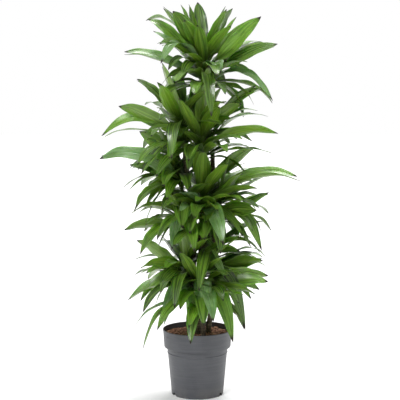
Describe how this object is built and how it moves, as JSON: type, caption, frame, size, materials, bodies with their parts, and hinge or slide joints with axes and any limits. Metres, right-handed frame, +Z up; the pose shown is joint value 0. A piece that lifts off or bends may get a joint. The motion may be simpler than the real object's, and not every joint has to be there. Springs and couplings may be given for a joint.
{
  "type": "potted dracaena",
  "caption": "Branched dracaena with heads of long arching green leaves on bare canes, in a round plastic nursery pot filled with potting mix.",
  "frame": {"origin": "centre of the underside of the pot, on the surface that it stands on", "axes": "+Z up along the pot's axis, -Y to the front, +X to the right seen from the front"},
  "size_m": [0.6792, 0.7158, 1.3587],
  "materials": {
    "pot_plastic": "moulded grey polypropylene, fine satin",
    "potting_mix": "damp bark and coco chips",
    "cane_bark": "grey brown, ringed with leaf scars",
    "leaf": "waxy, glossy above and paler below"
  },
  "bodies": {
    "root": {"cane_front": "cane_bark", "cane_left": "cane_bark", "cane_low": "cane_bark", "cane_right": "cane_bark", "cane_tall": "cane_bark", "leaves_left_1": "leaf", "leaves_left_2": "leaf", "leaves_left_3": "leaf", "leaves_left_4": "leaf", "leaves_low_1": "leaf", "leaves_low_2": "leaf", "leaves_low_3": "leaf", "leaves_low_4": "leaf", "leaves_low_5": "leaf", "leaves_lower_left_1": "leaf", "leaves_lower_left_2": "leaf", "leaves_lower_left_3": "leaf", "leaves_lower_left_4": "leaf", "leaves_lower_right_1": "leaf", "leaves_lower_right_2": "leaf", "leaves_lower_right_3": "leaf", "leaves_lower_right_4": "leaf", "leaves_middle_1": "leaf", "leaves_middle_2": "leaf", "leaves_middle_3": "leaf", "leaves_middle_4": "leaf", "leaves_middle_left_1": "leaf", "leaves_middle_left_2": "leaf", "leaves_middle_left_3": "leaf", "leaves_middle_left_4": "leaf", "leaves_middle_right_1": "leaf", "leaves_middle_right_2": "leaf", "leaves_middle_right_3": "leaf", "leaves_middle_right_4": "leaf", "leaves_top_1": "leaf", "leaves_top_2": "leaf", "leaves_top_3": "leaf", "leaves_top_4": "leaf", "leaves_top_5": "leaf", "leaves_top_6": "leaf", "leaves_upper_left_1": "leaf", "leaves_upper_left_2": "leaf", "leaves_upper_left_3": "leaf", "leaves_upper_left_4": "leaf", "leaves_upper_right_1": "leaf", "leaves_upper_right_2": "leaf", "leaves_upper_right_3": "leaf", "leaves_upper_right_4": "leaf", "nursery_pot": "pot_plastic", "potting_soil": "potting_mix"}
  },
  "joints": []
}
